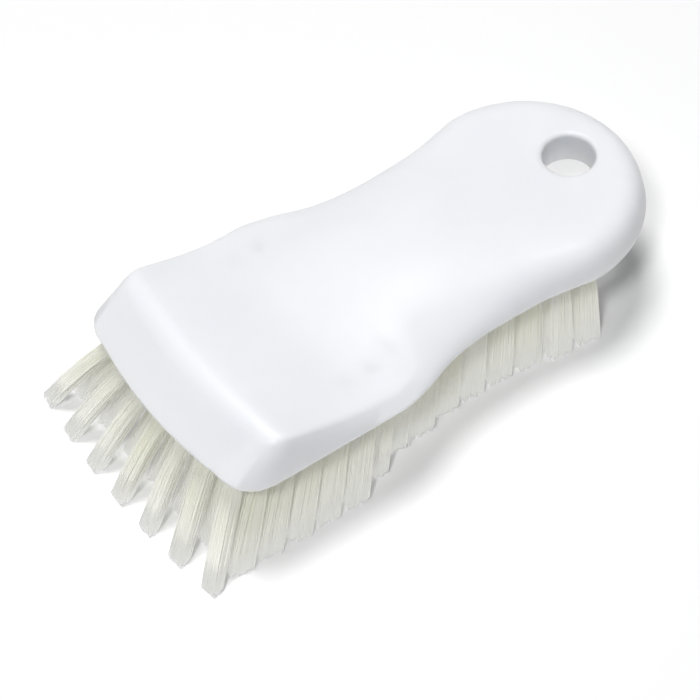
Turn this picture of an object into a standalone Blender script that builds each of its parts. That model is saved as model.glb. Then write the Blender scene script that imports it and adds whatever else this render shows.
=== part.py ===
"""Hand scrub brush: a moulded block with a hanging hole and fanned tufts set in its underside.

Built in metres with +Z up. The tuft tips stand on z = 0, the length runs along Y with the nose
towards -Y, and the origin is the middle of the footprint.
"""
import math

import bmesh
import bpy
import numpy as np
from mathutils import Matrix, Vector

# The block, seen from above. Places along it are measured from the nose.
BLOCK_LENGTH = 0.150
HEAD_WIDTH = 0.0742
WAIST_WIDTH = 0.0589
TAIL_WIDTH = 0.0639
NOSE_BOW = 0.0052
CORNER_ROUND = 0.0121
SHOULDER_FROM_NOSE = 0.051
WAIST_FROM_NOSE = 0.089
TAIL_FROM_NOSE = 0.117
SHOULDER_SHARES = ((0.0, 0.0), (0.25, 0.24), (0.5, 0.69), (0.75, 0.93), (1.0, 1.0))
TAIL_SHARES = ((0.0, 0.0), (0.5, 0.15), (0.8, 0.66), (1.0, 1.0))

# The block's top. Heights are measured from the underside.
RIDGE_FROM_NOSE = 0.0121
RIDGE_HEIGHT = 0.0128
SCOOP_FROM_NOSE = 0.043
SCOOP_HEIGHT = 0.0085
CROWN_FROM_NOSE = 0.084
CROWN_HEIGHT = 0.0115
TAIL_HEIGHT = 0.0098
SIDE_DROP = 0.0064
DROP_SHARES = ((0.0, 0.01), (0.10, 0.05), (0.153, 0.33), (0.22, 0.48), (0.287, 0.55), (0.36, 0.72),
               (0.50, 1.0), (0.667, 0.50), (0.80, 0.08), (1.0, 0.02))
CROWN_POWER = 2.4

# The block's walls and edges.
EDGE_BAND = 0.0012
HEAD_DRAFT = 0.0030
GRIP_DRAFT = 0.0020
RIDGE_CORNER = 0.0056
RIDGE_ROUND = 0.0040
HEAD_ROUND = 0.0012
GRIP_ROUND = 0.0075
TAIL_ROUND = 0.0053
KINK_FROM_NOSE = 0.0607
KINK_LENGTH = 0.005
WALL_ROUND_SHARE = 0.9
TOUCH_SHARE = 0.05
SPINE_FROM_NOSE = 0.036
WELD_DISTANCE = 0.00001

# The hole that the brush hangs on.
HANG_HOLE_RADIUS = 0.0070
HANG_HOLE_FROM_NOSE = 0.1324

# The tufts. TRIM is how far they stand below the block.
TRIM = 0.0281
FRONT_ROW_FROM_NOSE = 0.0078
FRONT_ROW_BOW = 0.0028
SECOND_ROW_FROM_NOSE = 0.0169
ROW_PITCH = 0.00805
ROW_TUFTS = (7, 7, 7, 7, 7, 7, 6, 5, 5, 5, 5, 5, 5, 5, 4)
SHOULDER_ROWS = (6, 7)
SIDE_MARGIN = 0.0121
SHOULDER_MARGIN = 0.0141
FRONT_FAN_SHARE = 0.46
SIDE_FAN_SHARE = 0.40
FRONT_LEAN = 0.0164
REAR_LEAN = 0.0040

# A tuft's root in its hole, and its five strands.
ROOT_RADIUS = 0.00205
ROOT_DEPTH = 0.0048
COLLAR = 0.0014
STRAND_ROOT_WIDTH = 0.0007
STRAND_TIP_WIDTH = 0.0015
STRAND_ROOT_OFFSET = 0.00085
STRAND_TIP_OFFSET = 0.0022
STRAND_TIP_SPREAD = 0.0029
STRAND_SEAT = 0.0006
STRAND_SPREAD = ((0.0, 0.0), (-1.0, -1.0), (1.0, -1.0), (1.0, 1.0), (-1.0, 1.0))

# The slice of backing that an inner row is set in.
SLICE_WIDTH = 0.0032
SLICE_DEPTH = 0.0046
SLICE_END = 0.0017

# The flat wire that anchors a tuft where its filaments fold.
ANCHOR_LENGTH = 0.0034
ANCHOR_WIDTH = 0.0006
ANCHOR_HEIGHT = 0.0008
ANCHOR_SEAT = 0.0004

CLEARANCE = 0.0003
CUT_OVERRUN = 0.004

# Steps of the round and curved stretches.
FRONT_STEPS = 16
CORNER_STEPS = 6
SIDE_STEPS = 26
TAIL_STEPS = 9
ROUND_STEPS = 6
TOP_STEPS = 8
HANG_HOLE_SIDES = 32
ROOT_SIDES = 10

COLLECTION_NAME = "hand_scrub_brush"
CUTTER_COLLECTION_NAME = "cutters"


def clear_scene():
    """Remove everything that the scene starts with."""
    for thing in list(bpy.data.objects):
        bpy.data.objects.remove(thing, do_unlink=True)


def new_collection(name):
    collection = bpy.data.collections.new(name)
    bpy.context.scene.collection.children.link(collection)
    return collection


def plain_material(name, colour, roughness, metallic=0.0):
    material = bpy.data.materials.new(name)
    material.use_nodes = True
    shader = material.node_tree.nodes["Principled BSDF"]
    shader.inputs["Base Color"].default_value = (*colour, 1.0)
    shader.inputs["Roughness"].default_value = roughness
    shader.inputs["Metallic"].default_value = metallic
    return material


def object_from(shape, name, collection, parent, material=None):
    """Turn a bmesh into a named object that hangs on the frame's empty."""
    bmesh.ops.recalc_face_normals(shape, faces=shape.faces)
    mesh = bpy.data.meshes.new(name)
    shape.to_mesh(mesh)
    shape.free()
    piece = bpy.data.objects.new(name, mesh)
    collection.objects.link(piece)
    piece.parent = parent
    if material is not None:
        mesh.materials.append(material)
    return piece


def mark_as_cutter(piece):
    piece.hide_render = True
    piece.display_type = "WIRE"


def boolean(piece, other, operation):
    step = piece.modifiers.new(operation.lower(), "BOOLEAN")
    step.operation = operation
    step.solver = "EXACT"
    step.object = other
    return step


def smooth_through(stations, place):
    """Read a smooth curve through (place, value) stations, level beyond its two ends."""
    places = [station[0] for station in stations]
    values = [station[1] for station in stations]
    if place <= places[0]:
        return values[0]
    if place >= places[-1]:
        return values[-1]
    last = len(places) - 1
    index = max(i for i in range(last) if places[i] <= place)
    span = places[index + 1] - places[index]
    share = (place - places[index]) / span

    def slope(i):
        if i == 0 or i == last:
            return 0.0
        return (values[i + 1] - values[i - 1]) / (places[i + 1] - places[i - 1])

    square = share * share
    cube = square * share
    return (values[index] * (2.0 * cube - 3.0 * square + 1.0)
            + values[index + 1] * (3.0 * square - 2.0 * cube)
            + span * slope(index) * (cube - 2.0 * square + share)
            + span * slope(index + 1) * (cube - square))


def half_width(place):
    """Half the block's width at its underside, from the corner's end to the tail's widest."""
    if place <= WAIST_FROM_NOSE:
        share = (place - SHOULDER_FROM_NOSE) / (WAIST_FROM_NOSE - SHOULDER_FROM_NOSE)
        blend = smooth_through(SHOULDER_SHARES, share)
        return (HEAD_WIDTH + (WAIST_WIDTH - HEAD_WIDTH) * blend) / 2.0
    share = (place - WAIST_FROM_NOSE) / (TAIL_FROM_NOSE - WAIST_FROM_NOSE)
    blend = smooth_through(TAIL_SHARES, share)
    return (WAIST_WIDTH + (TAIL_WIDTH - WAIST_WIDTH) * blend) / 2.0


def bow(across):
    """How far the nose edge has swept back at a distance from the middle."""
    return NOSE_BOW * (2.0 * across / HEAD_WIDTH) ** 2


def round_corner(start, corner, end, steps):
    """Points of a parabola-like fillet, without its start."""
    points = []
    for step in range(1, steps + 1):
        share = step / steps
        rest = 1.0 - share
        points.append(rest * rest * start + 2.0 * rest * share * corner + share * share * end)
    return points


def side_draft(place):
    """How far the side wall leans in between the underside and the top edge."""
    return smooth_through(((KINK_FROM_NOSE - KINK_LENGTH / 2.0, HEAD_DRAFT),
                           (KINK_FROM_NOSE + KINK_LENGTH / 2.0, GRIP_DRAFT)), place)


def edge_round(along):
    """The size of the rounding along the block's top edge, beside the ridge's own."""
    return smooth_through(((KINK_FROM_NOSE - KINK_LENGTH / 2.0, HEAD_ROUND),
                           (KINK_FROM_NOSE + KINK_LENGTH / 2.0, GRIP_ROUND),
                           (WAIST_FROM_NOSE, GRIP_ROUND),
                           (TAIL_FROM_NOSE, TAIL_ROUND)), along)


def quarter_outline(lean, inner, setback, corner):
    """One side of an outline from the middle of the nose to the tail's tip, as (across, along).

    Lean is 0 at the underside and 1 at the top edge. Inner is 1 where the edge's rounding has
    ended. The nose edge lies setback behind the nose, and corner is the size of the rounding
    between nose and side.
    """
    wall = HEAD_WIDTH / 2.0 - lean * HEAD_DRAFT
    front_end = wall - corner
    front_line = setback + inner * RIDGE_ROUND
    front_count = FRONT_STEPS // 2
    points = []
    for step in range(front_count + 1):
        across = front_end * step / front_count
        points.append(np.array((across, front_line + bow(across))))
    side = wall - inner * HEAD_ROUND
    sharp = np.array((side, points[-1][1]))
    corner_end = np.array((side, setback + bow(front_end) + corner))
    points += round_corner(points[-1], sharp, corner_end, CORNER_STEPS)
    for step in range(1, SIDE_STEPS + 1):
        along = corner_end[1] + (TAIL_FROM_NOSE - corner_end[1]) * step / SIDE_STEPS
        inset = lean * side_draft(along) + inner * edge_round(along)
        points.append(np.array((half_width(along) - inset, along)))
    tail_inset = lean * GRIP_DRAFT + inner * TAIL_ROUND
    tail_side = TAIL_WIDTH / 2.0 - tail_inset
    tail_reach = BLOCK_LENGTH - TAIL_FROM_NOSE - tail_inset
    tail_count = TAIL_STEPS + FRONT_STEPS // 2
    for step in range(1, tail_count + 1):
        angle = math.pi / 2.0 * step / tail_count
        across = tail_side * math.cos(angle)
        points.append(np.array((across, TAIL_FROM_NOSE + tail_reach * math.sin(angle))))
    points[-1][0] = 0.0
    return points


def top_height(across, along):
    """The height of the block's top above its underside."""
    swept = max(0.0, along - bow(across) * max(0.0, 1.0 - along / CROWN_FROM_NOSE))
    middle = smooth_through(((RIDGE_FROM_NOSE, RIDGE_HEIGHT), (SCOOP_FROM_NOSE, SCOOP_HEIGHT),
                             (CROWN_FROM_NOSE, CROWN_HEIGHT), (HANG_HOLE_FROM_NOSE, TAIL_HEIGHT)),
                            swept)
    side = half_width(along) - side_draft(along)
    drop = SIDE_DROP * smooth_through(DROP_SHARES, along / BLOCK_LENGTH)
    return middle - drop * min(1.0, abs(across) / side) ** CROWN_POWER


def edge_crest(sharp, end):
    """The corner that an edge's rounding bends round, in line with the top where it ends."""
    toward = end + (sharp - end) * TOUCH_SHARE
    rise = (top_height(*toward) - top_height(*end)) / TOUCH_SHARE
    return np.array((*sharp, top_height(*end) + rise))


def block_rings():
    """Rings of the block from its underside up to where the top's own surface begins."""
    foot = quarter_outline(0.0, 0.0, 0.0, CORNER_ROUND)
    edge = quarter_outline(1.0, 0.0, RIDGE_FROM_NOSE, RIDGE_CORNER)
    inner = quarter_outline(1.0, 1.0, RIDGE_FROM_NOSE, RIDGE_CORNER)
    columns = []
    for base, sharp, end in zip(foot, edge, inner):
        low = np.array((*base, 0.0))
        band = np.array((*base, EDGE_BAND))
        high = edge_crest(sharp, end)
        finish = np.array((*end, top_height(*end)))
        wall = high - band
        size = np.linalg.norm(end - sharp)
        start = high - wall * min(size / np.linalg.norm(wall), WALL_ROUND_SHARE)
        columns.append([low, band, start] + round_corner(start, high, finish, ROUND_STEPS))
    return [list(ring) for ring in zip(*columns)]


def whole_ring(half):
    """Close half a ring, which runs nose to tail at +X, with its mirror image."""
    mirrored = [point * np.array((-1.0, 1.0, 1.0)) for point in half[-2:0:-1]]
    return half + mirrored


def top_rings(rim):
    """Rings that shrink from the rim of the top to the block's middle line."""
    rings = []
    for step in range(1, TOP_STEPS + 1):
        share = step / TOP_STEPS
        ring = []
        for x, y, z in rim:
            middle = min(max(y, SPINE_FROM_NOSE), TAIL_FROM_NOSE)
            place = (x * (1.0 - share), y + (middle - y) * share)
            ring.append(np.array((*place, top_height(*place))))
        rings.append(ring)
    return rings


def block_shape():
    """Loft the block from ring to ring, close its underside and weld its top shut."""
    shape = bmesh.new()
    rings = block_rings()
    rings += top_rings(rings[-1])
    ring_vertices = []
    for half in rings:
        ring = whole_ring(half)
        ring_vertices.append([shape.verts.new(point + np.array((0.0, 0.0, TRIM)))
                              for point in ring])
    for low, high in zip(ring_vertices, ring_vertices[1:]):
        count = len(low)
        for index in range(count):
            following = (index + 1) % count
            shape.faces.new((low[index], low[following], high[following], high[index]))
    shape.faces.new(ring_vertices[0])
    bmesh.ops.remove_doubles(shape, verts=ring_vertices[-1], dist=WELD_DISTANCE)
    for face in shape.faces:
        face.smooth = True
    return shape


def row_place(row):
    """How far a row's middle lies behind the nose."""
    if row == 0:
        return FRONT_ROW_FROM_NOSE
    return SECOND_ROW_FROM_NOSE + ROW_PITCH * (row - 1)


def tip_spread(row):
    """How far strands stand from their tuft's middle at the tips, in X and in Y.

    A tuft is widest along the edge that it stands at: the front row's along X, the others' along Y.
    """
    if row == 0:
        return STRAND_TIP_SPREAD, STRAND_TIP_OFFSET
    return STRAND_TIP_OFFSET, STRAND_TIP_SPREAD


def row_tufts(row):
    """One row's tufts from -X to +X, each as its root (x, y), its tip (x, y) and its spread."""
    place = row_place(row)
    margin = SHOULDER_MARGIN if row in SHOULDER_ROWS else SIDE_MARGIN
    outer = half_width(place) - margin
    fan = FRONT_FAN_SHARE if row == 0 else SIDE_FAN_SHARE
    lean = FRONT_LEAN + (REAR_LEAN - FRONT_LEAN) * row / (len(ROW_TUFTS) - 1)
    last = ROW_TUFTS[row] - 1
    tufts = []
    for index in range(ROW_TUFTS[row]):
        side = 2.0 * index / last - 1.0
        swept = FRONT_ROW_BOW * side * side if row == 0 else 0.0
        root = (outer * side, place + swept)
        tip = (root[0] * (1.0 + fan), root[1] - lean)
        tufts.append((root, tip, tip_spread(row)))
    return tufts


def frame_shift():
    """Where the nose lies, with the footprint's middle as the origin."""
    foremost = min(tip[1] - spread[1] for root, tip, spread in row_tufts(0))
    foremost -= STRAND_TIP_WIDTH / 2.0
    return -(foremost + BLOCK_LENGTH) / 2.0


def add_strand(shape, low, low_width, high, high_width):
    """A tapering square strand whose two ends are level, so that its tip is cut flat."""
    signs = ((-1.0, -1.0), (1.0, -1.0), (1.0, 1.0), (-1.0, 1.0))
    ends = []
    for middle, width in ((low, low_width), (high, high_width)):
        ends.append([shape.verts.new((middle[0] + sx * width / 2.0,
                                      middle[1] + sy * width / 2.0, middle[2]))
                     for sx, sy in signs])
    bottom, top = ends
    shape.faces.new(bottom[::-1])
    shape.faces.new(top)
    for index in range(4):
        following = (index + 1) % 4
        shape.faces.new((bottom[index], bottom[following], top[following], top[index]))


def add_tuft_strands(shape, tuft, seat_height):
    """One strand in the middle of a tuft and four round it, spreading towards the floor."""
    root, tip, spread = tuft
    share = (TRIM - seat_height) / TRIM
    for sx, sy in STRAND_SPREAD:
        high = (root[0] + (tip[0] - root[0]) * share + sx * STRAND_ROOT_OFFSET,
                root[1] + (tip[1] - root[1]) * share + sy * STRAND_ROOT_OFFSET,
                seat_height)
        low = (tip[0] + sx * spread[0], tip[1] + sy * spread[1], 0.0)
        add_strand(shape, low, STRAND_TIP_WIDTH, high, STRAND_ROOT_WIDTH)


def root_matrix(tuft):
    """A frame on the underside at a tuft's root, whose Z points down along the tuft."""
    root, tip = tuft[:2]
    axis = Vector((tip[0] - root[0], tip[1] - root[1], -TRIM)).normalized()
    turn = Vector((0.0, 0.0, -1.0)).rotation_difference(axis).to_matrix().to_4x4()
    half_turn = Matrix.Rotation(math.pi, 4, "X")
    return Matrix.Translation((root[0], root[1], TRIM)) @ turn @ half_turn


def add_cylinder(shape, matrix, radius, start, end, sides):
    """A closed cylinder along a frame's Z, from start to end."""
    middle = Matrix.Translation((0.0, 0.0, (start + end) / 2.0))
    bmesh.ops.create_cone(shape, cap_ends=True, segments=sides, radius1=radius, radius2=radius,
                          depth=end - start, matrix=matrix @ middle)


def add_box(shape, matrix, low, high):
    """A closed box between two corners of a frame."""
    size = [b - a for a, b in zip(low, high)]
    middle = Matrix.Translation([(a + b) / 2.0 for a, b in zip(low, high)])
    scale = Matrix.Diagonal((*size, 1.0))
    bmesh.ops.create_cube(shape, size=1.0, matrix=matrix @ middle @ scale)


def add_anchor(shape, matrix, seat):
    """The flat wire across a tuft's fold, which stands on the root's inner end."""
    add_box(shape, matrix,
            (-ANCHOR_LENGTH / 2.0, -ANCHOR_WIDTH / 2.0, -seat - ANCHOR_HEIGHT),
            (ANCHOR_LENGTH / 2.0, ANCHOR_WIDTH / 2.0, -seat + ANCHOR_SEAT))


def single_tuft(name, tuft, makers):
    """A tuft in a drilled hole: its bound root, its strands and its anchor."""
    matrix = root_matrix(tuft)
    core = bmesh.new()
    add_cylinder(core, matrix, ROOT_RADIUS, -ROOT_DEPTH, COLLAR, ROOT_SIDES)
    piece = object_from(core, name, makers["parts"], makers["frame"], makers["filament"])
    extra = bmesh.new()
    add_tuft_strands(extra, tuft, TRIM + STRAND_SEAT)
    add_anchor(extra, matrix, ROOT_DEPTH)
    strands = object_from(extra, name + "_strands", makers["cutters"], makers["frame"])
    mark_as_cutter(strands)
    boolean(piece, strands, "UNION")
    return piece


def slice_box(tufts):
    """The low and high corners of an inner row's slice of backing, below its anchors."""
    roots = [tuft[0] for tuft in tufts]
    along = roots[0][1]
    low = (roots[0][0] - SLICE_END, along - SLICE_WIDTH / 2.0, TRIM)
    high = (roots[-1][0] + SLICE_END, along + SLICE_WIDTH / 2.0, TRIM + SLICE_DEPTH)
    return low, high


def inner_row(name, tufts, makers):
    """A row's inner tufts, fused to the slice of backing that they are set in."""
    core = bmesh.new()
    add_box(core, Matrix.Identity(4), *slice_box(tufts))
    piece = object_from(core, name, makers["parts"], makers["frame"], makers["filament"])
    extra = bmesh.new()
    for tuft in tufts:
        add_tuft_strands(extra, tuft, TRIM + STRAND_SEAT)
        upright = Matrix.Translation((*tuft[0], TRIM)) @ Matrix.Rotation(math.pi, 4, "X")
        add_anchor(extra, upright, SLICE_DEPTH)
    strands = object_from(extra, name + "_strands", makers["cutters"], makers["frame"])
    mark_as_cutter(strands)
    boolean(piece, strands, "UNION")
    return piece


def tuft_layout():
    """Every tuft's place: the outer ones by name, and each row's inner ones together."""
    outer = []
    inner = []
    last_row = len(ROW_TUFTS) - 1
    for row in range(len(ROW_TUFTS)):
        tufts = row_tufts(row)
        if row == 0:
            outer += [(f"front_tuft_{i + 1}", tuft) for i, tuft in enumerate(tufts)]
            continue
        outer.append((f"left_tuft_{row + 1:02d}", tufts[0]))
        outer.append((f"right_tuft_{row + 1:02d}", tufts[-1]))
        if row == last_row:
            outer += [(f"rear_tuft_{i + 1}", tuft) for i, tuft in enumerate(tufts[1:-1])]
        else:
            inner.append((f"inner_row_{row + 1:02d}", tufts[1:-1]))
    return outer, inner


def drilled_cutter(outer, makers):
    """The blind holes of the outer tufts, each drilled along its tuft."""
    shape = bmesh.new()
    depth = ROOT_DEPTH + ANCHOR_HEIGHT + CLEARANCE
    for name, tuft in outer:
        add_cylinder(shape, root_matrix(tuft), ROOT_RADIUS + CLEARANCE, -depth, CUT_OVERRUN,
                     ROOT_SIDES)
    cutter = object_from(shape, "drilled_holes", makers["cutters"], makers["frame"])
    mark_as_cutter(cutter)
    return cutter


def opened_cutter(inner, makers):
    """The slots for the inner rows' slices, and the hanging hole."""
    shape = bmesh.new()
    for name, tufts in inner:
        low, high = slice_box(tufts)
        low = (low[0] - CLEARANCE, low[1] - CLEARANCE, low[2] - CUT_OVERRUN)
        high = (high[0] + CLEARANCE, high[1] + CLEARANCE,
                high[2] + ANCHOR_HEIGHT + CLEARANCE)
        add_box(shape, Matrix.Identity(4), low, high)
    hanging = Matrix.Translation((0.0, HANG_HOLE_FROM_NOSE, TRIM))
    add_cylinder(shape, hanging, HANG_HOLE_RADIUS, -CUT_OVERRUN, CROWN_HEIGHT + CUT_OVERRUN,
                 HANG_HOLE_SIDES)
    cutter = object_from(shape, "slots_and_hanging_hole", makers["cutters"], makers["frame"])
    mark_as_cutter(cutter)
    return cutter


def build():
    clear_scene()
    parts = new_collection(COLLECTION_NAME)
    cutters = new_collection(CUTTER_COLLECTION_NAME)
    frame = bpy.data.objects.new("frame", None)
    frame.location = (0.0, frame_shift(), 0.0)
    parts.objects.link(frame)
    makers = {
        "parts": parts,
        "cutters": cutters,
        "frame": frame,
        "plastic": plain_material("block_plastic", (0.93, 0.94, 0.95), 0.42),
        "filament": plain_material("filament", (0.89, 0.87, 0.77), 0.45),
    }
    outer, inner = tuft_layout()
    block = object_from(block_shape(), "block", parts, frame, makers["plastic"])
    boolean(block, opened_cutter(inner, makers), "DIFFERENCE")
    boolean(block, drilled_cutter(outer, makers), "DIFFERENCE")
    for name, tuft in outer:
        single_tuft(name, tuft, makers)
    for name, tufts in inner:
        inner_row(name, tufts, makers)
    bpy.context.view_layer.update()
    print("tufts:", sum(ROW_TUFTS), "strands:", len(STRAND_SPREAD) * sum(ROW_TUFTS))


build()
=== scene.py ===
# %% [markdown]
# # A hand scrub brush
# The brush is one moulded plastic block with a hanging hole, and eighty-seven tufts of cream filament
# that fan out of its underside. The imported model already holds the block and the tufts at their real
# size, so this lesson keeps that frame and gives each piece the surface that a camera sees: a satin
# moulding with soft edges, and tufts of separate filaments.

# %% Load the frame
import math

import bmesh
import bpy
import numpy as np
from mathutils import Matrix, Vector


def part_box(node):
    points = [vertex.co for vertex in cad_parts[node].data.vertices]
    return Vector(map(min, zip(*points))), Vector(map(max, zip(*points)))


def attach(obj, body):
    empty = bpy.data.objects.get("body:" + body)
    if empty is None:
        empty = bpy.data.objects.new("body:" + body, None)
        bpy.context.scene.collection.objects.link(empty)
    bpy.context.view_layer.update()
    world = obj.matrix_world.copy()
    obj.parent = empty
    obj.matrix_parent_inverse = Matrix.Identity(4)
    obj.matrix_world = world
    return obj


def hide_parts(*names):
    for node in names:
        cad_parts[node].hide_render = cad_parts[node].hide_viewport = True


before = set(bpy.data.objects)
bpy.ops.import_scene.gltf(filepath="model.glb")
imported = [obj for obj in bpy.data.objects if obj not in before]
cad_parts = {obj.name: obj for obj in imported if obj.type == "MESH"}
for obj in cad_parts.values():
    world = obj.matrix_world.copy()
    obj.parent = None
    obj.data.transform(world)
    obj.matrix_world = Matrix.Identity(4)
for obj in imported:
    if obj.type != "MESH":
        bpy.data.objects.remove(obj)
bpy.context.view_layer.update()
block_low, block_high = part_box("block")
NOSE = block_low[1]
UNDERSIDE = block_low[2]
print("nodes:", len(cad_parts), "nose at", round(NOSE, 4), "underside at", round(UNDERSIDE, 4))

# %% [markdown]
# ## Camera
# The photograph was taken with a long lens, from above the right side of the nose. A long lens draws
# near and far tufts at nearly the same size, and the slight roll matches the way the brush lies in the
# frame. The picture is 700 pixels square, so a focal length in pixels turns into a lens in millimetres.

# %% Camera
PHOTO_SIZE = 700
FOCAL_PIXELS = 3400
SENSOR_WIDTH = 36.0
AZIMUTH = math.radians(56.16)
ELEVATION = math.radians(51.21)
ROLL = math.radians(-2.10)
DISTANCE = 0.90086
AIM = Vector((-0.0058, -0.00435, 0.0))


def camera_frame(azimuth, elevation, roll):
    """The camera's right, up and backward directions."""
    back = Vector((math.sin(azimuth) * math.cos(elevation),
                   -math.cos(azimuth) * math.cos(elevation), math.sin(elevation)))
    level_right = Vector((math.cos(azimuth), math.sin(azimuth), 0.0))
    level_up = back.cross(level_right)
    right = level_right * math.cos(roll) + level_up * math.sin(roll)
    up = level_up * math.cos(roll) - level_right * math.sin(roll)
    return right, up, back


right, up, back = camera_frame(AZIMUTH, ELEVATION, ROLL)
camera = bpy.data.objects.new("camera", bpy.data.cameras.new("camera"))
bpy.context.scene.collection.objects.link(camera)
turn = Matrix((right, up, back)).transposed().to_4x4()
camera.matrix_world = Matrix.Translation(AIM + back * DISTANCE) @ turn
camera.data.sensor_width = SENSOR_WIDTH
camera.data.lens = FOCAL_PIXELS / PHOTO_SIZE * SENSOR_WIDTH
bpy.context.scene.camera = camera
print("lens", round(camera.data.lens, 1), "mm")

# %% [markdown]
# ## Light
# A white moulding is drawn by its shadows alone, so the light must leave some. Two lamps do it.
# The stronger one hangs overhead, a little to the far side, and lays the soft dark band below the
# near tufts. The other stands just left of the camera: it throws the narrow shadow along the right of
# the tail, and the thin dark line beside each tuft. A faint sky opens the hidden sides. Rays that reach
# the camera see plain white, so the sky's own strength never shows.

# %% Sky
SKY_STRENGTH = 0.08
SKY_COLOUR = (0.97, 0.98, 1.0, 1.0)
WHITE = (1.0, 1.0, 1.0, 1.0)


def node(tree, kind, **settings):
    """A new node with the given sockets or properties set."""
    made = tree.nodes.new(kind)
    for name, value in settings.items():
        if name in made.inputs:
            made.inputs[name].default_value = value
        else:
            setattr(made, name, value)
    return made


def light_path_factor(tree):
    """1 for rays that look at the background: from the camera, a gloss or a transmission."""
    path = node(tree, "ShaderNodeLightPath")
    first = node(tree, "ShaderNodeMath", operation="MAXIMUM")
    tree.links.new(path.outputs["Is Camera Ray"], first.inputs[0])
    tree.links.new(path.outputs["Is Glossy Ray"], first.inputs[1])
    second = node(tree, "ShaderNodeMath", operation="MAXIMUM")
    tree.links.new(first.outputs[0], second.inputs[0])
    tree.links.new(path.outputs["Is Transmission Ray"], second.inputs[1])
    return second.outputs[0]


def make_world():
    world = bpy.data.worlds.new("studio")
    bpy.context.scene.world = world
    world.use_nodes = True
    tree = world.node_tree
    sky = tree.nodes["Background"]
    sky.inputs["Color"].default_value = SKY_COLOUR
    sky.inputs["Strength"].default_value = SKY_STRENGTH
    seen = node(tree, "ShaderNodeBackground", Color=WHITE)
    mix = node(tree, "ShaderNodeMixShader")
    tree.links.new(light_path_factor(tree), mix.inputs[0])
    tree.links.new(sky.outputs[0], mix.inputs[1])
    tree.links.new(seen.outputs[0], mix.inputs[2])
    tree.links.new(mix.outputs[0], tree.nodes["World Output"].inputs["Surface"])


make_world()
print("sky", SKY_STRENGTH, "of white")

# %% Lamps


def add_lamp(name, direction, distance, size, level):
    """A round soft lamp that lights a face turned to it at the given level, where 1 is white."""
    data = bpy.data.lights.new(name, "AREA")
    data.shape = "DISK"
    data.size = size
    data.energy = level * math.pi * math.pi * distance ** 2
    lamp = bpy.data.objects.new(name, data)
    bpy.context.scene.collection.objects.link(lamp)
    toward = Vector(direction).normalized()
    lamp.location = toward * distance
    lamp.rotation_euler = toward.to_track_quat("Z", "Y").to_euler()


add_lamp("overhead", (-0.17, 0.01, 0.98), distance=1.6, size=0.62, level=0.66)
add_lamp("beside_camera", back - right * 0.17 + up * 0.11, distance=1.8, size=0.30, level=0.34)

# %% [markdown]
# ## Floor
# The brush stands on a plain white sheet. The camera sees the sheet a little brighter than it is, so
# that open floor goes white and only the brush's own shadow stays.

# %% Floor
FLOOR_SIZE = 8.0
FLOOR_COLOUR = (0.98, 0.98, 0.985, 1.0)
FLOOR_LIFT = 0.03


def make_floor():
    shape = bmesh.new()
    bmesh.ops.create_grid(shape, x_segments=1, y_segments=1, size=FLOOR_SIZE / 2.0)
    mesh = bpy.data.meshes.new("floor")
    shape.to_mesh(mesh)
    shape.free()
    floor = bpy.data.objects.new("floor", mesh)
    bpy.context.scene.collection.objects.link(floor)
    material = bpy.data.materials.new("floor")
    material.use_nodes = True
    tree = material.node_tree
    shader = tree.nodes["Principled BSDF"]
    shader.inputs["Base Color"].default_value = FLOOR_COLOUR
    shader.inputs["Roughness"].default_value = 1.0
    shader.inputs["Specular IOR Level"].default_value = 0.0
    lift = node(tree, "ShaderNodeMath", operation="MULTIPLY")
    lift.inputs[1].default_value = FLOOR_LIFT
    tree.links.new(light_path_factor(tree), lift.inputs[0])
    glow = node(tree, "ShaderNodeEmission")
    tree.links.new(lift.outputs[0], glow.inputs["Strength"])
    both = node(tree, "ShaderNodeAddShader")
    tree.links.new(shader.outputs[0], both.inputs[0])
    tree.links.new(glow.outputs[0], both.inputs[1])
    tree.links.new(both.outputs[0], tree.nodes["Material Output"].inputs["Surface"])
    mesh.materials.append(material)


make_floor()
print("floor", FLOOR_SIZE, "m wide")

# %% [markdown]
# ## The block's outline
# Seen from above the block is a slightly bowed nose, straight cheeks, a waist for the fingers and a
# round tail. One half is enough, because the moulding is the same on both sides. A smooth curve through
# a few named places gives the width, so a change of one place moves everything that follows it.

# %% Widths of the block
BLOCK_LENGTH = block_high[1] - block_low[1]
HEAD_WIDTH = block_high[0] - block_low[0]
WAIST_WIDTH = 0.0589
TAIL_WIDTH = 0.0639
NOSE_BOW = 0.0052
CORNER_ROUND = 0.0121
SHOULDER = 0.051
WAIST = 0.089
TAIL = 0.117
SHOULDER_SHARES = ((0.0, 0.0), (0.25, 0.24), (0.5, 0.69), (0.75, 0.93), (1.0, 1.0))
TAIL_SHARES = ((0.0, 0.0), (0.5, 0.15), (0.8, 0.66), (1.0, 1.0))


def smooth_through(stations, place):
    """Read a smooth curve through (place, value) stations, level beyond its two ends."""
    places = [station[0] for station in stations]
    values = [station[1] for station in stations]
    if place <= places[0]:
        return values[0]
    if place >= places[-1]:
        return values[-1]
    last = len(places) - 1
    index = max(i for i in range(last) if places[i] <= place)
    span = places[index + 1] - places[index]
    share = (place - places[index]) / span

    def slope(i):
        if i == 0 or i == last:
            return 0.0
        return (values[i + 1] - values[i - 1]) / (places[i + 1] - places[i - 1])

    square = share * share
    cube = square * share
    return (values[index] * (2.0 * cube - 3.0 * square + 1.0)
            + values[index + 1] * (3.0 * square - 2.0 * cube)
            + span * slope(index) * (cube - 2.0 * square + share)
            + span * slope(index + 1) * (cube - square))


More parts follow.
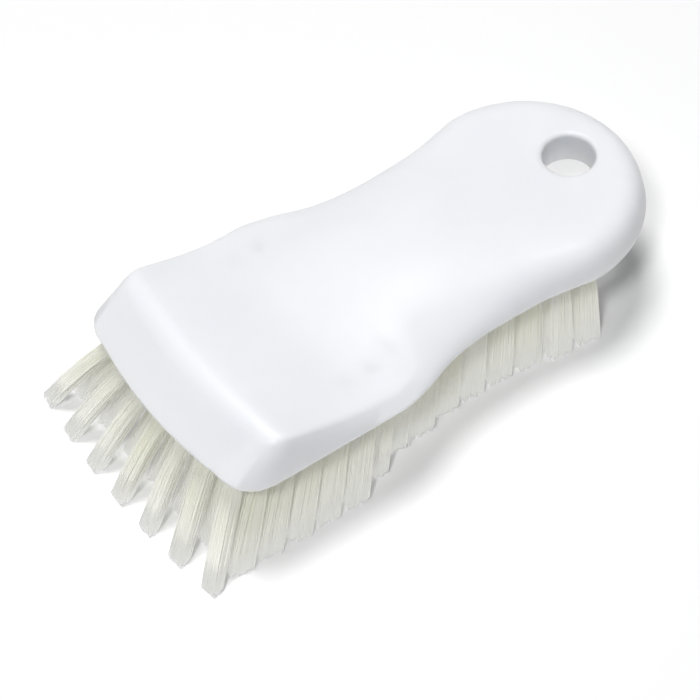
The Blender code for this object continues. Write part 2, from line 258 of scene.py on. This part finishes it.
def half_width(place):
    """Half the block's width at its underside, at a distance behind the nose."""
    if place <= WAIST:
        blend = smooth_through(SHOULDER_SHARES, (place - SHOULDER) / (WAIST - SHOULDER))
        return (HEAD_WIDTH + (WAIST_WIDTH - HEAD_WIDTH) * blend) / 2.0
    blend = smooth_through(TAIL_SHARES, (place - WAIST) / (TAIL - WAIST))
    return (WAIST_WIDTH + (TAIL_WIDTH - WAIST_WIDTH) * blend) / 2.0


def bow(across):
    """How far the nose edge has swept back at a distance from the middle."""
    return NOSE_BOW * (2.0 * across / HEAD_WIDTH) ** 2


print("length", round(BLOCK_LENGTH, 4), "head", round(HEAD_WIDTH, 4))

# %% [markdown]
# ## The block's top
# Behind the nose a ridge crosses the block, then the top dips into a scoop for the fingertips, swells
# under the palm and levels off round the hanging hole. The sides drop lower than the middle, most of
# all beside the scoop. This is a height for every place, which the loft then reads.

# %% Heights of the block
RIDGE = 0.0121
RIDGE_HEIGHT = 0.0128
SCOOP = 0.043
SCOOP_HEIGHT = 0.0085
CROWN = 0.084
CROWN_HEIGHT = 0.0115
HANG_HOLE = 0.1324
TAIL_HEIGHT = 0.0098
SIDE_DROP = 0.0064
DROP_SHARES = ((0.0, 0.01), (0.10, 0.05), (0.153, 0.33), (0.22, 0.48), (0.287, 0.55), (0.36, 0.72),
               (0.50, 1.0), (0.667, 0.50), (0.80, 0.08), (1.0, 0.02))
CROWN_POWER = 2.4
HEAD_DRAFT = 0.0030
GRIP_DRAFT = 0.0020
HEAD_ROUND = 0.0012
GRIP_ROUND = 0.0075
TAIL_ROUND = 0.0053
RIDGE_ROUND = 0.0040
RIDGE_CORNER = 0.0056
KINK = 0.0607
KINK_LENGTH = 0.005


def side_draft(place):
    """How far the side wall leans in between the underside and the top edge."""
    return smooth_through(((KINK - KINK_LENGTH / 2.0, HEAD_DRAFT),
                           (KINK + KINK_LENGTH / 2.0, GRIP_DRAFT)), place)


def edge_round(place):
    """The size of the soft edge along the block's sides: crisp on the head, large on the grip."""
    return smooth_through(((KINK - KINK_LENGTH / 2.0, HEAD_ROUND),
                           (KINK + KINK_LENGTH / 2.0, GRIP_ROUND),
                           (WAIST, GRIP_ROUND), (TAIL, TAIL_ROUND)), place)


def top_height(across, along):
    """The height of the block's top above its underside."""
    swept = max(0.0, along - bow(across) * max(0.0, 1.0 - along / CROWN))
    middle = smooth_through(((RIDGE, RIDGE_HEIGHT), (SCOOP, SCOOP_HEIGHT), (CROWN, CROWN_HEIGHT),
                             (HANG_HOLE, TAIL_HEIGHT)), swept)
    side = half_width(along) - side_draft(along)
    drop = SIDE_DROP * smooth_through(DROP_SHARES, along / BLOCK_LENGTH)
    return middle - drop * min(1.0, abs(across) / side) ** CROWN_POWER


print("scoop is", round(top_height(0.0, SCOOP), 4), "m thick in the middle")

# %% [markdown]
# ## Lofting the block
# A mould has a foot, a wall that leans in, and a rounded edge that runs into the top. So the block is
# a stack of closed rings, one above the other, bridged into walls. Over the top the rings shrink to the
# block's middle line, where the last one is welded shut. A loft like this keeps its edges soft without
# a bevel, which would struggle where the edge grows from one millimetre to seven.

# %% Rings of the block
FRONT_STEPS = 48
CORNER_STEPS = 12
SIDE_STEPS = 96
TAIL_STEPS = 24
ROUND_STEPS = 10
FOOT_STEPS = 4
FOOT_ROUND = 0.0005
EDGE_BAND = 0.0012
WALL_ROUND_SHARE = 0.9
TOUCH_SHARE = 0.05
TOP_STEPS = 32
SPINE_START = 0.040
SLIT_SHARE = 0.002
WELD = 0.0002


def round_corner(start, corner, end, steps):
    """Points of a parabola-like fillet, without its start."""
    points = []
    for step in range(1, steps + 1):
        share = step / steps
        rest = 1.0 - share
        points.append(rest * rest * start + 2.0 * rest * share * corner + share * share * end)
    return points


def quarter_outline(lean, inner, setback, corner):
    """One side of an outline from the middle of the nose to the tail's tip, as (across, along).

    Lean is 0 at the underside and 1 at the top edge. Inner is 1 where the edge's rounding has ended.
    """
    wall = HEAD_WIDTH / 2.0 - lean * HEAD_DRAFT
    front_end = wall - corner
    front_line = setback + inner * RIDGE_ROUND
    front_count = FRONT_STEPS // 2
    points = []
    for step in range(front_count + 1):
        across = front_end * step / front_count
        points.append(np.array((across, front_line + bow(across))))
    side = wall - inner * HEAD_ROUND
    sharp = np.array((side, points[-1][1]))
    corner_end = np.array((side, setback + bow(front_end) + corner))
    points += round_corner(points[-1], sharp, corner_end, CORNER_STEPS)
    for step in range(1, SIDE_STEPS + 1):
        along = corner_end[1] + (TAIL - corner_end[1]) * step / SIDE_STEPS
        inset = lean * side_draft(along) + inner * edge_round(along)
        points.append(np.array((half_width(along) - inset, along)))
    tail_inset = lean * GRIP_DRAFT + inner * TAIL_ROUND
    tail_side = TAIL_WIDTH / 2.0 - tail_inset
    tail_reach = BLOCK_LENGTH - TAIL - tail_inset
    tail_count = TAIL_STEPS + front_count
    for step in range(1, tail_count + 1):
        angle = math.pi / 2.0 * step / tail_count
        across = tail_side * math.cos(angle)
        points.append(np.array((across, TAIL + tail_reach * math.sin(angle))))
    points[-1][0] = 0.0
    return points


def inward_normals(outline):
    """Directions that point into the block from each point of an outline."""
    normals = []
    for index in range(len(outline)):
        before = outline[max(index - 1, 0)]
        after = outline[min(index + 1, len(outline) - 1)]
        along = (after - before) / np.linalg.norm(after - before)
        normals.append(np.array((-along[1], along[0])))
    normals[0] = np.array((0.0, 1.0))
    normals[-1] = np.array((0.0, -1.0))
    return normals


def edge_crest(sharp, end):
    """The corner that an edge's rounding bends round, in line with the top where it ends."""
    toward = end + (sharp - end) * TOUCH_SHARE
    rise = (top_height(*toward) - top_height(*end)) / TOUCH_SHARE
    return np.array((*sharp, top_height(*end) + rise))


def block_rings():
    """Rings from the foot's soft edge, up the wall and over the top edge."""
    foot = quarter_outline(0.0, 0.0, 0.0, CORNER_ROUND)
    edge = quarter_outline(1.0, 0.0, RIDGE, RIDGE_CORNER)
    inner = quarter_outline(1.0, 1.0, RIDGE, RIDGE_CORNER)
    columns = []
    for base, normal, sharp, end in zip(foot, inward_normals(foot), edge, inner):
        sole = np.array((*(base + normal * FOOT_ROUND), 0.0))
        low = np.array((*base, 0.0))
        heel = np.array((*base, FOOT_ROUND))
        band = np.array((*base, EDGE_BAND))
        high = edge_crest(sharp, end)
        finish = np.array((*end, top_height(*end)))
        wall = high - band
        size = np.linalg.norm(end - sharp)
        start = high - wall * min(size / np.linalg.norm(wall), WALL_ROUND_SHARE)
        column = [sole] + round_corner(sole, low, heel, FOOT_STEPS) + [band]
        columns.append(column + [start] + round_corner(start, high, finish, ROUND_STEPS))
    return [list(ring) for ring in zip(*columns)]


def top_rings(rim):
    """Rings that shrink from the rim of the top to the block's middle line."""
    rings = []
    for step in range(1, TOP_STEPS + 1):
        share = min(step / TOP_STEPS, 1.0 - SLIT_SHARE)
        ring = []
        for x, y, z in rim:
            spine = min(max(y, SPINE_START), TAIL)
            place = np.array((x * (1.0 - share), y + (spine - y) * share))
            ring.append(np.array((*place, top_height(*place))))
        rings.append(ring)
    return rings


rings = block_rings()
rings += top_rings(rings[-1])
print("rings:", len(rings), "of", len(rings[0]), "points a side")

# %% Bridge the rings into the block


def draw_ring(shape, half):
    """A closed ring of edges through half an outline and its mirror image."""
    mirrored = [point * np.array((-1.0, 1.0, 1.0)) for point in half[-2:0:-1]]
    vertices = []
    for point in half + mirrored:
        vertices.append(shape.verts.new((point[0], point[1] + NOSE, point[2] + UNDERSIDE)))
    count = len(vertices)
    return [shape.edges.new((vertices[i], vertices[(i + 1) % count])) for i in range(count)]


def loft_block(rings):
    shape = bmesh.new()
    loops = [draw_ring(shape, half) for half in rings]
    for low, high in zip(loops, loops[1:]):
        bmesh.ops.bridge_loops(shape, edges=low + high)
    bmesh.ops.edgeloop_fill(shape, edges=loops[0])
    slit = {vertex for edge in loops[-1] for vertex in edge.verts}
    bmesh.ops.remove_doubles(shape, verts=list(slit), dist=WELD)
    bmesh.ops.recalc_face_normals(shape, faces=shape.faces)
    return shape


print("a whole ring has", 2 * (len(rings[0]) - 1), "points")

# %% Turn a shape into a piece


def piece_from(shape, name, material, sharp_angle):
    """A named object from a bmesh, smooth up to an angle."""
    mesh = bpy.data.meshes.new(name)
    shape.to_mesh(mesh)
    shape.free()
    mesh.shade_smooth()
    mesh.set_sharp_from_angle(angle=sharp_angle)
    if material is not None:
        mesh.materials.append(material)
    piece = bpy.data.objects.new(name, mesh)
    bpy.context.scene.collection.objects.link(piece)
    return piece


# %% [markdown]
# ## Patterns for a surface
# A real surface drifts a little from place to place. A noise gives every place a value, a ramp turns it
# into a colour, and a stretch turns it into a number such as a roughness. The noise reads Object
# coordinates, so it stays put on its piece however the mesh was made.

# %% Patterns


def noise(tree, scale, detail, roughness=0.5):
    """A noise over the piece's own coordinates."""
    place = node(tree, "ShaderNodeTexCoord")
    made = node(tree, "ShaderNodeTexNoise", Scale=scale, Detail=detail, Roughness=roughness)
    tree.links.new(place.outputs["Object"], made.inputs["Vector"])
    return made


def ramp(tree, source, stops):
    """A colour ramp over a value, with (place, colour) stops."""
    made = node(tree, "ShaderNodeValToRGB")
    while len(made.color_ramp.elements) < len(stops):
        made.color_ramp.elements.new(0.5)
    for element, (place, colour) in zip(made.color_ramp.elements, stops):
        element.position = place
        element.color = (*colour, 1.0)
    tree.links.new(source, made.inputs["Fac"])
    return made.outputs["Color"]


def stretch(tree, source, low, high, new_low, new_high):
    """Move a value from one range to another."""
    made = node(tree, "ShaderNodeMapRange")
    made.inputs["From Min"].default_value = low
    made.inputs["From Max"].default_value = high
    made.inputs["To Min"].default_value = new_low
    made.inputs["To Max"].default_value = new_high
    tree.links.new(source, made.inputs["Value"])
    return made.outputs["Result"]


# %% [markdown]
# ## The satin plastic
# The block is white plastic, taken to be polypropylene, from a lightly textured mould. It is never one
# flat colour: it lets a little light in, and its sheen is uneven. So the colour and the roughness drift
# over patches about as wide as a fingertip, a fine grain breaks the highlights, and a broader ripple
# keeps them from looking ruled.

# %% Satin plastic
PLASTIC_IOR = 1.49
PLASTIC_DARK = (0.835, 0.851, 0.880)
PLASTIC_LIGHT = (0.860, 0.874, 0.900)
PLASTIC_ROUGHNESS = (0.36, 0.50)
LIGHT_LET_IN = 0.55
LIGHT_DEPTH = 0.0045
LIGHT_DEPTH_BY_COLOUR = (1.0, 0.95, 0.9)
NOISE_LOW = 0.25
NOISE_HIGH = 0.75


def satin_plastic():
    material = bpy.data.materials.new("satin_plastic")
    material.use_nodes = True
    tree = material.node_tree
    shader = tree.nodes["Principled BSDF"]
    shader.inputs["IOR"].default_value = PLASTIC_IOR
    shader.inputs["Subsurface Weight"].default_value = LIGHT_LET_IN
    shader.inputs["Subsurface Radius"].default_value = LIGHT_DEPTH_BY_COLOUR
    shader.inputs["Subsurface Scale"].default_value = LIGHT_DEPTH
    patches = noise(tree, scale=55.0, detail=3.0)
    colour = ramp(tree, patches.outputs["Fac"], ((NOISE_LOW, PLASTIC_DARK),
                                                 (NOISE_HIGH, PLASTIC_LIGHT)))
    tree.links.new(colour, shader.inputs["Base Color"])
    rubbed = noise(tree, scale=90.0, detail=4.0, roughness=0.6)
    tree.links.new(stretch(tree, rubbed.outputs["Fac"], NOISE_LOW, NOISE_HIGH, *PLASTIC_ROUGHNESS),
                   shader.inputs["Roughness"])
    grain = noise(tree, scale=2600.0, detail=2.0)
    ripple = noise(tree, scale=160.0, detail=2.0)
    fine = node(tree, "ShaderNodeBump", Strength=0.10, Distance=0.00005)
    tree.links.new(grain.outputs["Fac"], fine.inputs["Height"])
    broad = node(tree, "ShaderNodeBump", Strength=0.12, Distance=0.0004)
    tree.links.new(ripple.outputs["Fac"], broad.inputs["Height"])
    tree.links.new(fine.outputs["Normal"], broad.inputs["Normal"])
    tree.links.new(broad.outputs["Normal"], shader.inputs["Normal"])
    return material


block_plastic = satin_plastic()
print("made", block_plastic.name)

# %% [markdown]
# ## Tuft layout
# The tufts stand in fifteen rows: seven in each row of the head, fewer at the shoulder and the grip.
# Each is drilled along its own lean, forwards on the nose and outwards at the sides, which is what makes
# the brush reach past its block. The same named values as in the frame give every root and tip.

# %% Tuft layout
FRONT_ROW = 0.0078
FRONT_ROW_BOW = 0.0028
SECOND_ROW = 0.0169
ROW_PITCH = 0.00805
ROW_TUFTS = (7, 7, 7, 7, 7, 7, 6, 5, 5, 5, 5, 5, 5, 5, 4)
SHOULDER_ROWS = (6, 7)
SIDE_MARGIN = 0.0121
SHOULDER_MARGIN = 0.0141
FRONT_FAN_SHARE = 0.46
SIDE_FAN_SHARE = 0.40
FRONT_LEAN = 0.0164
REAR_LEAN = 0.0040


def row_tufts(row):
    """The roots and tips of one row's tufts, from -X to +X, on the underside and on the floor."""
    place = FRONT_ROW if row == 0 else SECOND_ROW + ROW_PITCH * (row - 1)
    outer = half_width(place) - (SHOULDER_MARGIN if row in SHOULDER_ROWS else SIDE_MARGIN)
    fan = FRONT_FAN_SHARE if row == 0 else SIDE_FAN_SHARE
    lean = FRONT_LEAN + (REAR_LEAN - FRONT_LEAN) * row / (len(ROW_TUFTS) - 1)
    last = ROW_TUFTS[row] - 1
    tufts = []
    for index in range(ROW_TUFTS[row]):
        side = 2.0 * index / last - 1.0
        swept = FRONT_ROW_BOW * side * side if row == 0 else 0.0
        root = np.array((outer * side, place + swept + NOSE, UNDERSIDE))
        tip = np.array((root[0] * (1.0 + fan), root[1] - lean, 0.0))
        tufts.append((root, tip))
    return tufts


def tuft_nodes():
    """Which tufts each node of the frame holds."""
    nodes = {}
    last_row = len(ROW_TUFTS) - 1
    for row in range(len(ROW_TUFTS)):
        tufts = row_tufts(row)
        if row == 0:
            nodes.update({f"front_tuft_{i + 1}": [tuft] for i, tuft in enumerate(tufts)})
            continue
        nodes[f"left_tuft_{row + 1:02d}"] = [tufts[0]]
        nodes[f"right_tuft_{row + 1:02d}"] = [tufts[-1]]
        if row == last_row:
            nodes.update({f"rear_tuft_{i + 1}": [tuft] for i, tuft in enumerate(tufts[1:-1])})
        else:
            nodes[f"inner_row_{row + 1:02d}"] = tufts[1:-1]
    return nodes


layout = tuft_nodes()
print("tufts:", sum(len(tufts) for tufts in layout.values()), "in", len(layout), "nodes")

# %% [markdown]
# ## Holes in the block
# Each tuft is stapled into a blind hole, and the tail has one hole right through to hang the brush on.
# Both are cut with a Boolean. The hanging hole's cutter is a turned profile that flares at the top, so
# the rim comes out rounded where a finger would feel it.

# %% Cutters
HOLE_RADIUS = 0.00235
HOLE_DEPTH = 0.0055
HOLE_SIDES = 20
HANG_RADIUS = 0.0070
HANG_RIM = 0.0013
HANG_SIDES = 96
RIM_STEPS = 6
RIM_SLOPE = math.radians(12.0)
OVERRUN = 0.003
SPIN_WELD = 1e-7


def spun(profile, centre, sides):
    """A closed turned shape from (radius, height) points that start and end on the axis."""
    shape = bmesh.new()
    points = [shape.verts.new((centre[0] + radius, centre[1], centre[2] + height))
              for radius, height in profile]
    edges = [shape.edges.new(pair) for pair in zip(points, points[1:])]
    bmesh.ops.spin(shape, geom=points + edges, cent=centre, axis=(0.0, 0.0, 1.0),
                   angle=2.0 * math.pi, steps=sides, use_merge=True)
    bmesh.ops.remove_doubles(shape, verts=shape.verts, dist=SPIN_WELD)
    bmesh.ops.recalc_face_normals(shape, faces=shape.faces)
    return shape


def hanging_hole():
    """The hanging hole's cutter, straight below and flared at the top."""
    profile = [(0.0, -OVERRUN), (HANG_RADIUS, -OVERRUN)]
    for step in range(RIM_STEPS + 1):
        angle = (math.pi / 2.0 - RIM_SLOPE) * step / RIM_STEPS
        profile.append((HANG_RADIUS + HANG_RIM * (1.0 - math.cos(angle)),
                        TAIL_HEIGHT - HANG_RIM * (1.0 - math.sin(angle))))
    radius, height = profile[-1]
    profile.append((radius + OVERRUN, height + OVERRUN * math.tan(RIM_SLOPE)))
    profile.append((radius + OVERRUN, height + OVERRUN))
    profile.append((0.0, height + OVERRUN))
    return spun(profile, Vector((0.0, NOSE + HANG_HOLE, UNDERSIDE)), HANG_SIDES)


print("hanging hole", round(2.0 * HANG_RADIUS, 4), "m across")

# %% Drill and cut


def drilled_holes():
    """Every tuft's blind hole, drilled along its lean."""
    shape = bmesh.new()
    for tufts in layout.values():
        for root, tip in tufts:
            axis = Vector(root - tip).normalized()
            turned = Vector((0.0, 0.0, 1.0)).rotation_difference(axis).to_matrix().to_4x4()
            middle = Vector(root) + axis * (HOLE_DEPTH - OVERRUN) / 2.0
            bmesh.ops.create_cone(shape, cap_ends=True, segments=HOLE_SIDES, radius1=HOLE_RADIUS,
                                  radius2=HOLE_RADIUS, depth=HOLE_DEPTH + OVERRUN,
                                  matrix=Matrix.Translation(middle) @ turned)
    return shape


def cut(piece, shape):
    """Cut a shape out of a piece and keep the result as the piece's own mesh."""
    cutter = piece_from(shape, "cutter", None, math.pi)
    step = piece.modifiers.new("cut", "BOOLEAN")
    step.operation = "DIFFERENCE"
    step.solver = "EXACT"
    step.object = cutter
    evaluated = piece.evaluated_get(bpy.context.evaluated_depsgraph_get())
    result = bpy.data.meshes.new_from_object(evaluated)
    piece.modifiers.remove(step)
    old = piece.data
    piece.data = result
    bpy.data.meshes.remove(old)
    bpy.data.objects.remove(cutter, do_unlink=True)


# %% Make the block
SHARP_EDGE = math.radians(40.0)

block = piece_from(loft_block(rings), "brush_block", block_plastic, SHARP_EDGE)
cut(block, hanging_hole())
cut(block, drilled_holes())
block.data.set_sharp_from_angle(angle=SHARP_EDGE)
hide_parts("block")
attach(block, "root")
print("block:", len(block.data.polygons), "faces")

# %% [markdown]
# ## The filament
# The filament is a cream plastic, a little see-through. Its body is yellowish, while the cut ends
# scatter light and look white. Light also travels inside a strand, which a mesh this coarse can't show,
# so a faint glow of its own stands in for it. That glow is painted light, strongest at the tip, where it
# also lifts the strands out of the shade near the floor. Each strand carries two numbers: how far along
# it a point lies, and a shade that tells it from its neighbours.

# %% Filament
FILAMENT_IOR = 1.5
FILAMENT_ROUGHNESS = 0.42
BODY_COLOURS = ((0.0, (0.945, 0.94, 0.85)), (0.5, (0.965, 0.965, 0.905)), (1.0, (0.975, 0.975, 0.935)))
TIP_COLOUR = (0.985, 0.985, 0.97, 1.0)
TIPS_START = 0.55
TRANSLUCENCY = 0.38
BODY_GLOW = 0.046
LOW_GLOW = BODY_GLOW * 1.5
TIP_GLOW = 0.15


def filament():
    material = bpy.data.materials.new("filament")
    material.use_nodes = True
    tree = material.node_tree
    shader = tree.nodes["Principled BSDF"]
    shader.inputs["IOR"].default_value = FILAMENT_IOR
    shader.inputs["Roughness"].default_value = FILAMENT_ROUGHNESS
    shade = node(tree, "ShaderNodeAttribute", attribute_name="shade")
    along = node(tree, "ShaderNodeAttribute", attribute_name="along")
    body = ramp(tree, shade.outputs["Fac"], BODY_COLOURS)
    tips = ramp(tree, along.outputs["Fac"], ((TIPS_START, (0.0, 0.0, 0.0)), (1.0, (1.0, 1.0, 1.0))))
    mix = node(tree, "ShaderNodeMix", data_type="RGBA")
    mix.inputs["B"].default_value = TIP_COLOUR
    tree.links.new(tips, mix.inputs["Factor"])
    tree.links.new(body, mix.inputs["A"])
    tree.links.new(mix.outputs["Result"], shader.inputs["Base Color"])
    # Painted light: each strand glows faintly, most near its tip, which also lifts it out of the shade
    # near the floor.
    glow = ramp(tree, along.outputs["Fac"], ((0.5, (BODY_GLOW,) * 3), (0.85, (LOW_GLOW,) * 3),
                                             (1.0, (TIP_GLOW,) * 3)))
    shader.inputs["Emission Strength"].default_value = 1.0 / (1.0 - TRANSLUCENCY)
    tree.links.new(glow, shader.inputs["Emission Color"])
    through = node(tree, "ShaderNodeBsdfTranslucent")
    tree.links.new(mix.outputs["Result"], through.inputs["Color"])
    both = node(tree, "ShaderNodeMixShader", Fac=TRANSLUCENCY)
    tree.links.new(shader.outputs[0], both.inputs[1])
    tree.links.new(through.outputs[0], both.inputs[2])
    tree.links.new(both.outputs[0], tree.nodes["Material Output"].inputs["Surface"])
    return material


filament_material = filament()
print("made", filament_material.name)

# %% [markdown]
# ## Bundles of strands
# A tuft starts as a bundle of straight, thin, four-sided rods of unit height, all in one mesh. Cutting
# every rod across gives it rings to bend at. Two bundles are made: a fine one for the tufts that show,
# and a coarse one for those deep inside. Each tuft copies one and combs its strands from the hole to
# the floor, so the rods cost two sets of operators and not eighty-seven.

# %% Bundles
FINE_GRID = (14, 22)
FINE_RADIUS = 0.00018
COARSE_GRID = (8, 11)
COARSE_RADIUS = 0.00026
STRAND_SIDES = 4
STRAND_CUTS = 4


def make_bundle(grid, radius):
    shape = bmesh.new()
    along = shape.verts.layers.float.new("along")
    strand = shape.verts.layers.float.new("strand")
    for index in range(grid[0] * grid[1]):
        rod = bmesh.ops.create_cone(shape, cap_ends=True, segments=STRAND_SIDES,
                                    radius1=radius, radius2=radius, depth=1.0,
                                    matrix=Matrix.Translation((0.0, 0.0, 0.5)))
        for vertex in rod["verts"]:
            vertex[along] = vertex.co.z
            vertex[strand] = index
    upright = [edge for edge in shape.edges
               if abs(edge.verts[0].co.z - edge.verts[1].co.z) > radius]
    bmesh.ops.subdivide_edges(shape, edges=upright, cuts=STRAND_CUTS, use_grid_fill=True)
    for face in shape.faces:
        face.smooth = len(face.verts) == 4
    mesh = bpy.data.meshes.new("bundle")
    shape.to_mesh(mesh)
    shape.free()
    return mesh


bundles = {FINE_GRID: make_bundle(FINE_GRID, FINE_RADIUS),
           COARSE_GRID: make_bundle(COARSE_GRID, COARSE_RADIUS)}
print("bundles:", [len(bundle.polygons) for bundle in bundles.values()], "faces")

# %% [markdown]
# ## Combing the tufts
# In its hole the bundle is tight and round. Below the block it splays at once and then runs nearly
# straight to the floor, where the strands fill a rounded rectangle beside the next tuft's. A grid of
# places does this well: drawn in to a disc it is the root, drawn in a little it is the tip, and each
# strand keeps the same neighbours on the way.

# %% Places in a tuft
ROOT_RADIUS = 0.0021
ROOT_DEPTH = 0.0045
TIP_ROUNDING = 0.10
SIDE_TURN = math.radians(-9.0)
FRONT_TURN = math.radians(10.0)
FRONT_TIP = (0.0025, 0.0017)
FRONT_REACH = 0.0010
FRONT_LIST = (-0.0012, -0.0009, 0.0)
SIDE_TIP = (0.0025, 0.0034)
CLUMP = 3


def grid_places(across, along):
    """Places in a square from -1 to 1, with every other line shifted by half a step."""
    places = []
    for i in range(across):
        for j in range(along):
            shift = 0.25 if i % 2 else -0.25
            places.append((2.0 * (i + 0.5) / across - 1.0, 2.0 * (j + 0.5 + shift) / along - 1.0))
    return np.array(places)


def clump_numbers(across, along):
    """The little clump of neighbours that each strand sticks to near its tip."""
    return np.array([(i // CLUMP) * along + j // CLUMP for i in range(across) for j in range(along)])


def drawn_in(places, share):
    """The places of a square, drawn in towards a disc by a share."""
    disc = places * np.sqrt(1.0 - places[:, ::-1] ** 2 / 2.0)
    return places + (disc - places) * share


def turned(places, angle):
    """Places turned about their middle."""
    cosine, sine = math.cos(angle), math.sin(angle)
    return places @ np.array(((cosine, sine), (-sine, cosine)))


print("places:", len(grid_places(*FINE_GRID)), "clumps:", len(set(clump_numbers(*FINE_GRID))))

# %% [markdown]
# No two strands are alike. Each bows a little, sticks to a few neighbours near its tip and ends a
# little high where the shears missed it, and now and then one strays from its tuft. A seeded generator
# keeps the brush the same at every run.

# %% Where the strands run
SPLAY = 2.6
TIP_JITTER = 0.00010
BOW_SIZE = 0.00012
CLUMP_PULL = 0.35
CLUMP_POWER = 5
TRIM_STEP = 0.0019
TRIM_WIDTH = 0.0008
TRIM_SKEW = 0.67
TRIM_BIAS = 1.5
TRIM_JITTER = 0.0004
STRAY_CHANCE = 0.003
STRAY_SIZE = 0.0011
TUFT_TONE = 0.5
SEED = 11
draw = np.random.default_rng(SEED)


def clump_pull(wide, clump):
    """How far each strand must move to reach the middle of its clump."""
    members = np.maximum(np.bincount(clump), 1)
    middles = np.column_stack([np.bincount(clump, wide[:, axis]) / members for axis in (0, 1)])
    return middles[clump] - wide


def ragged_ends(wide, skew):
    """How high each strand ends, because the shears leave ragged steps across a tuft."""
    step = np.floor((wide[:, 1] + wide[:, 0] * skew) / TRIM_WIDTH).astype(int)
    step -= step.min()
    heights = TRIM_STEP * draw.random(step.max() + 1) ** TRIM_BIAS
    return heights[step] + TRIM_JITTER * draw.random(len(wide))


def strand_lines(grid, root, tip, front):
    """Where each strand of a tuft starts in its hole, leaves it and ends at the floor.

    The last value is how far the strand leans over to its clump at the tip.
    """
    places = grid_places(*grid)
    clump = clump_numbers(*grid)
    side = root[0] / (HEAD_WIDTH / 2.0 - SIDE_MARGIN)
    if front:
        places = places[:, ::-1]
        tip = tip + np.array((side, -1.0, 0.0)) * FRONT_REACH + np.array(FRONT_LIST)
    wide = drawn_in(places, TIP_ROUNDING) * np.array(FRONT_TIP if front else SIDE_TIP)
    wide = turned(wide, side * (FRONT_TURN if front else SIDE_TURN))
    tight = drawn_in(places, 1.0) * ROOT_RADIUS
    count = len(places)
    mouth = root + np.column_stack((tight, np.zeros(count)))
    start = mouth + (root - tip) * ROOT_DEPTH / UNDERSIDE
    stray = draw.random(count) < STRAY_CHANCE
    scatter = np.where(stray, STRAY_SIZE, TIP_JITTER)[:, None]
    wide = wide + draw.normal(0.0, 1.0, (count, 2)) * scatter
    skew = TRIM_SKEW if front or root[0] > 0.0 else -TRIM_SKEW
    end = tip + np.column_stack((wide, ragged_ends(wide, skew)))
    return start, mouth, end, clump_pull(wide, clump) * CLUMP_PULL


print("a strand ends at most", round(TRIM_STEP + TRIM_JITTER, 4), "m above the floor")

# %% Comb a bundle


def read_layer(mesh, name):
    """One of a bundle's own numbers, for each point."""
    values = np.zeros(len(mesh.vertices))
    mesh.attributes[name].data.foreach_get("value", values)
    return values


def comb(mesh, grid, root, tip, front):
    """Move a bundle's points so that its strands run from a hole to the floor."""
    points = np.zeros(len(mesh.vertices) * 3)
    mesh.vertices.foreach_get("co", points)
    points = points.reshape(-1, 3)
    share = read_layer(mesh, "along")
    strand = np.rint(read_layer(mesh, "strand")).astype(int)
    start, mouth, end, pull = strand_lines(grid, root, tip, front)
    mouth_share = 1.0 / (STRAND_CUTS + 1)
    above = np.clip(share / mouth_share, 0.0, 1.0)[:, None]
    below = np.clip((share - mouth_share) / (1.0 - mouth_share), 0.0, 1.0)[:, None]
    splay = end - mouth - (tip - root)
    splay[:, 2] = 0.0
    fall = end - mouth - splay
    bend = draw.normal(0.0, BOW_SIZE, (len(end), 2))
    line = start[strand] * (1.0 - above) + mouth[strand] * above
    line += fall[strand] * below + splay[strand] * (1.0 - (1.0 - below) ** SPLAY)
    line[:, :2] += points[:, :2] + bend[strand] * 4.0 * below * (1.0 - below)
    line[:, :2] += pull[strand] * below ** CLUMP_POWER
    mesh.vertices.foreach_set("co", line.ravel())
    tone = draw.random(len(end)) * (1.0 - TUFT_TONE) + draw.random() * TUFT_TONE
    mesh.attributes.new("shade", "FLOAT", "POINT").data.foreach_set("value", tone[strand])
    mesh.update()


# %% Make the tufts
SEEN_ROWS = ("inner_row_02", "inner_row_03")


def make_tufts(name, grid, tufts, front):
    """One piece that holds all of a node's tufts."""
    joined = bmesh.new()
    for root, tip in tufts:
        mesh = bundles[grid].copy()
        comb(mesh, grid, root, tip, front)
        joined.from_mesh(mesh)
        bpy.data.meshes.remove(mesh)
    mesh = bpy.data.meshes.new(name)
    joined.to_mesh(mesh)
    joined.free()
    mesh.materials.append(filament_material)
    piece = bpy.data.objects.new(name, mesh)
    bpy.context.scene.collection.objects.link(piece)
    return piece


strand_count = 0
for node_name, tufts in layout.items():
    hidden = node_name.startswith("inner") and node_name not in SEEN_ROWS
    grid = COARSE_GRID if hidden else FINE_GRID
    piece = make_tufts(node_name + "_filaments", grid, tufts, node_name.startswith("front"))
    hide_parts(node_name)
    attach(piece, "root")
    strand_count += grid[0] * grid[1] * len(tufts)
for bundle in bundles.values():
    bpy.data.meshes.remove(bundle)
print("strands:", strand_count)

# %% [markdown]
# ## Finish
# The picture is plain: no colour management beyond the standard one.

# %% Finish
bpy.context.scene.view_settings.view_transform = "Standard"
bpy.context.view_layer.update()
